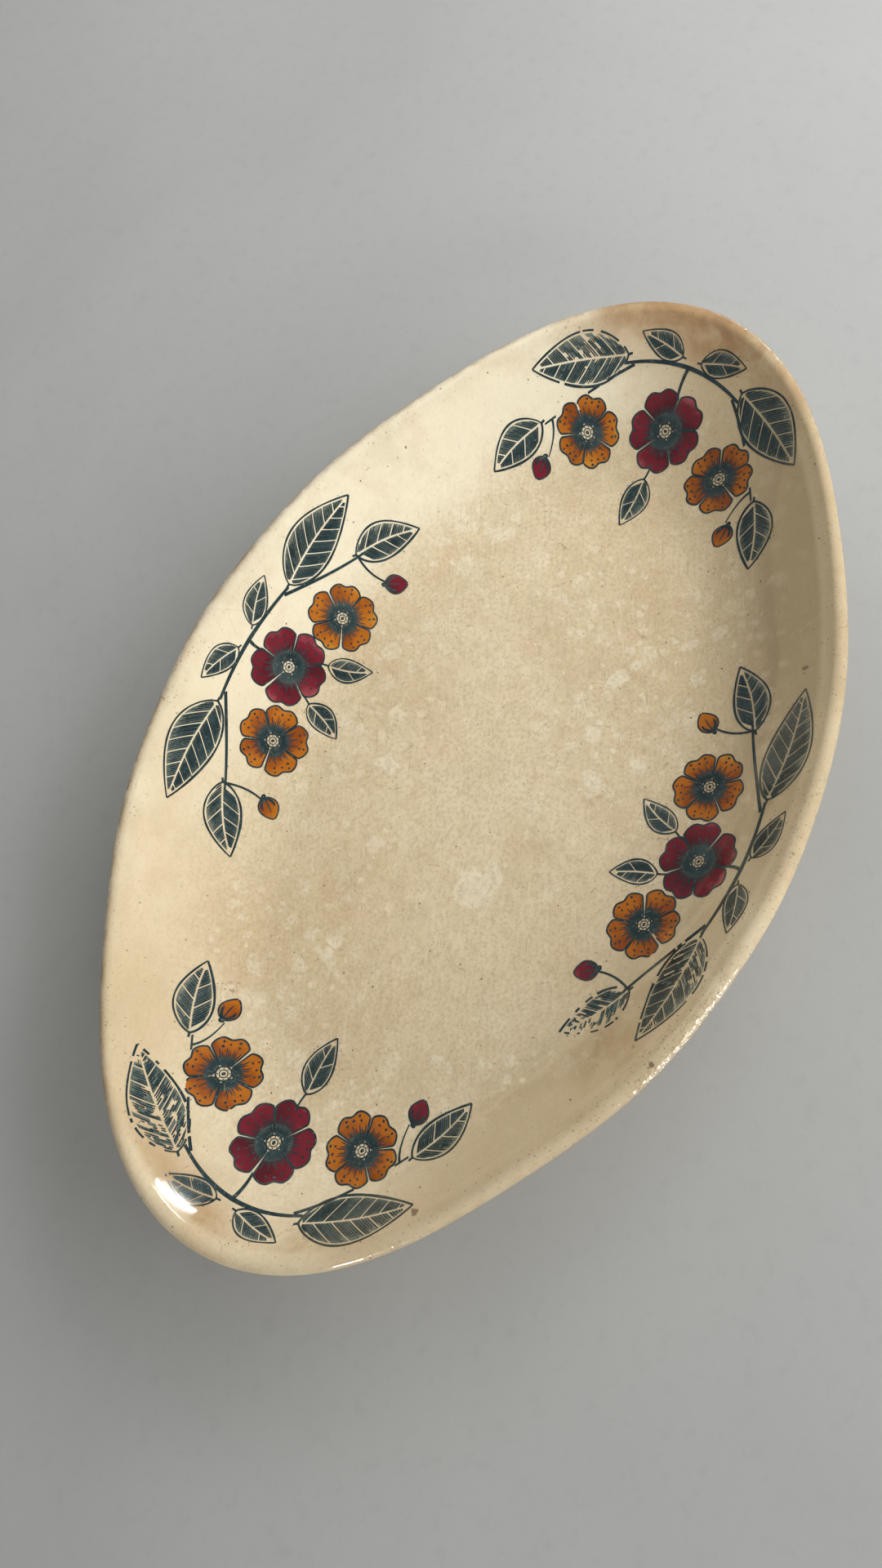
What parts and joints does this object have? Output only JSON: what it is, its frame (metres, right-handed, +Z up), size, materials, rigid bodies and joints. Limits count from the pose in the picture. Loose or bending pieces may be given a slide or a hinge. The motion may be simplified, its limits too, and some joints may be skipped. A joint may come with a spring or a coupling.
{
  "type": "oval appetizer dish",
  "caption": "Boat-shaped shallow serving dish with pointed ends, a rolled lip, a low oval foot ring and floral sprays on the inside of the wall, for holding small cold dishes.",
  "frame": {"origin": "middle of the foot's standing edge, on the table", "axes": "+X along the length, +Y across the width, +Z up"},
  "size_m": [0.24, 0.145, 0.032],
  "materials": {
    "earthenware": "fired clay, bare on the standing edge",
    "glaze": "glossy aged cream",
    "slate_print": "glossy print",
    "ochre_tint": "glossy tint",
    "crimson_tint": "glossy tint"
  },
  "bodies": {
    "root": {"earthenware_body": "earthenware", "clear_glaze": "glaze", "side_a_print": "slate_print", "side_a_ochre": "ochre_tint", "side_a_crimson": "crimson_tint", "side_b_print": "slate_print", "side_b_ochre": "ochre_tint", "side_b_crimson": "crimson_tint", "end_a_print": "slate_print", "end_a_ochre": "ochre_tint", "end_a_crimson": "crimson_tint", "end_b_print": "slate_print", "end_b_ochre": "ochre_tint", "end_b_crimson": "crimson_tint"}
  },
  "joints": []
}
